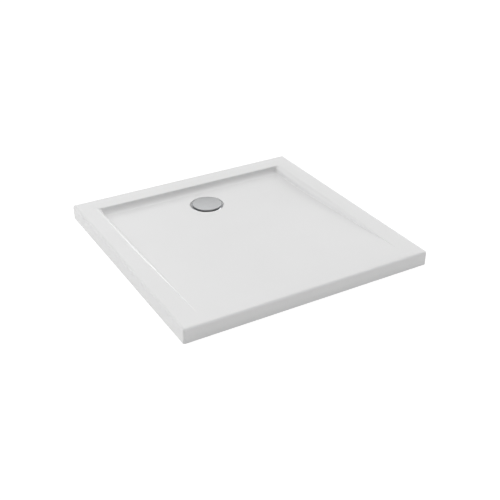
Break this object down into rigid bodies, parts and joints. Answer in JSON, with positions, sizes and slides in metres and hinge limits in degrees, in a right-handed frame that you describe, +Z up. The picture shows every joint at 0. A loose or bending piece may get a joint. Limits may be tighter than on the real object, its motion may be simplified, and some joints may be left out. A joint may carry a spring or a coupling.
{
  "type": "shower tray",
  "caption": "Low square white acrylic shower tray on its own skirt: flat rim, floor falling from the step-in front to a round waste near the back, lift-off chromed cover, screw feet beneath.",
  "frame": {"origin": "centre of the tray's footprint, on the floor it stands on", "axes": "+Z up, +Y towards the back edge beside the waste, +X towards the right-hand edge seen from the step-in front"},
  "size_m": [0.9, 0.9, 0.05],
  "materials": {
    "sanitary_acrylic": "gloss",
    "glass_fibre": "satin",
    "chipboard": "matte",
    "black_rubber": "matte",
    "white_plastic": "satin",
    "waste_chrome": "polished",
    "cover_chrome": "polished",
    "grey_plastic": "satin",
    "zinc_steel": "satin",
    "black_plastic": "satin"
  },
  "bodies": {
    "tray": {"tray_shell": "sanitary_acrylic", "glass_fibre_backing": "glass_fibre", "ramp_board": "chipboard", "drain_board": "chipboard", "rim_batten_left": "chipboard", "rim_batten_right": "chipboard", "rim_batten_back": "chipboard", "rim_batten_front": "chipboard", "support_pads": "black_rubber", "upper_gasket": "black_rubber", "waste_flange": "waste_chrome", "lower_gasket": "black_rubber", "slip_washer": "white_plastic", "waste_backnut": "grey_plastic", "foot_inserts": "zinc_steel", "foot_locknuts": "zinc_steel"},
    "strainer": {"hair_strainer": "grey_plastic", "strainer_ring": "black_rubber"},
    "cover": {"drain_cover": "cover_chrome", "cover_spider": "grey_plastic", "stem_ring": "black_rubber"},
    "pad_front_left": {"foot_pad_front_left": "black_plastic"},
    "stud_front_left": {"foot_stud_front_left": "zinc_steel"},
    "pad_front_right": {"foot_pad_front_right": "black_plastic"},
    "stud_front_right": {"foot_stud_front_right": "zinc_steel"},
    "pad_back_left": {"foot_pad_back_left": "black_plastic"},
    "stud_back_left": {"foot_stud_back_left": "zinc_steel"},
    "pad_back_right": {"foot_pad_back_right": "black_plastic"},
    "stud_back_right": {"foot_stud_back_right": "zinc_steel"},
    "pad_middle_left": {"foot_pad_middle_left": "black_plastic"},
    "stud_middle_left": {"foot_stud_middle_left": "zinc_steel"},
    "pad_middle_right": {"foot_pad_middle_right": "black_plastic"},
    "stud_middle_right": {"foot_stud_middle_right": "zinc_steel"}
  },
  "joints": [
    {"name": "strainer_lift", "type": "slide", "parent": "tray", "child": "strainer", "axis": [0, 0, 1], "range_m": [0, 0.1]},
    {"name": "cover_lift", "type": "slide", "parent": "strainer", "child": "cover", "axis": [0, 0, 1], "range_m": [0, 0.1]},
    {"name": "foot_front_left_travel", "type": "slide", "parent": "tray", "child": "pad_front_left", "axis": [0, 0, -1], "range_m": [0, 0.006]},
    {"name": "foot_front_left_turn", "type": "hinge", "parent": "pad_front_left", "child": "stud_front_left", "pos_m": [-0.412, -0.412, 0.006], "axis": [0, 0, -1], "range_deg": [0, 1440]},
    {"name": "foot_front_right_travel", "type": "slide", "parent": "tray", "child": "pad_front_right", "axis": [0, 0, -1], "range_m": [0, 0.006]},
    {"name": "foot_front_right_turn", "type": "hinge", "parent": "pad_front_right", "child": "stud_front_right", "pos_m": [0.412, -0.412, 0.006], "axis": [0, 0, -1], "range_deg": [0, 1440]},
    {"name": "foot_back_left_travel", "type": "slide", "parent": "tray", "child": "pad_back_left", "axis": [0, 0, -1], "range_m": [0, 0.006]},
    {"name": "foot_back_left_turn", "type": "hinge", "parent": "pad_back_left", "child": "stud_back_left", "pos_m": [-0.412, 0.412, 0.006], "axis": [0, 0, -1], "range_deg": [0, 1440]},
    {"name": "foot_back_right_travel", "type": "slide", "parent": "tray", "child": "pad_back_right", "axis": [0, 0, -1], "range_m": [0, 0.006]},
    {"name": "foot_back_right_turn", "type": "hinge", "parent": "pad_back_right", "child": "stud_back_right", "pos_m": [0.412, 0.412, 0.006], "axis": [0, 0, -1], "range_deg": [0, 1440]},
    {"name": "foot_middle_left_travel", "type": "slide", "parent": "tray", "child": "pad_middle_left", "axis": [0, -0.0464, -0.9989], "range_m": [0, 0.006]},
    {"name": "foot_middle_left_turn", "type": "hinge", "parent": "pad_middle_left", "child": "stud_middle_left", "pos_m": [-0.19, -0.15, 0.006], "axis": [0, -0.0464, -0.9989], "range_deg": [0, 1440]},
    {"name": "foot_middle_right_travel", "type": "slide", "parent": "tray", "child": "pad_middle_right", "axis": [0, -0.0464, -0.9989], "range_m": [0, 0.006]},
    {"name": "foot_middle_right_turn", "type": "hinge", "parent": "pad_middle_right", "child": "stud_middle_right", "pos_m": [0.19, -0.15, 0.006], "axis": [0, -0.0464, -0.9989], "range_deg": [0, 1440]}
  ],
  "couplings": [
    {"joint": "foot_front_left_turn", "follows": "foot_front_left_travel", "rad_per_m": 4188.8},
    {"joint": "foot_front_right_turn", "follows": "foot_front_right_travel", "rad_per_m": 4188.8},
    {"joint": "foot_back_left_turn", "follows": "foot_back_left_travel", "rad_per_m": 4188.8},
    {"joint": "foot_back_right_turn", "follows": "foot_back_right_travel", "rad_per_m": 4188.8},
    {"joint": "foot_middle_left_turn", "follows": "foot_middle_left_travel", "rad_per_m": 4188.8},
    {"joint": "foot_middle_right_turn", "follows": "foot_middle_right_travel", "rad_per_m": 4188.8}
  ]
}
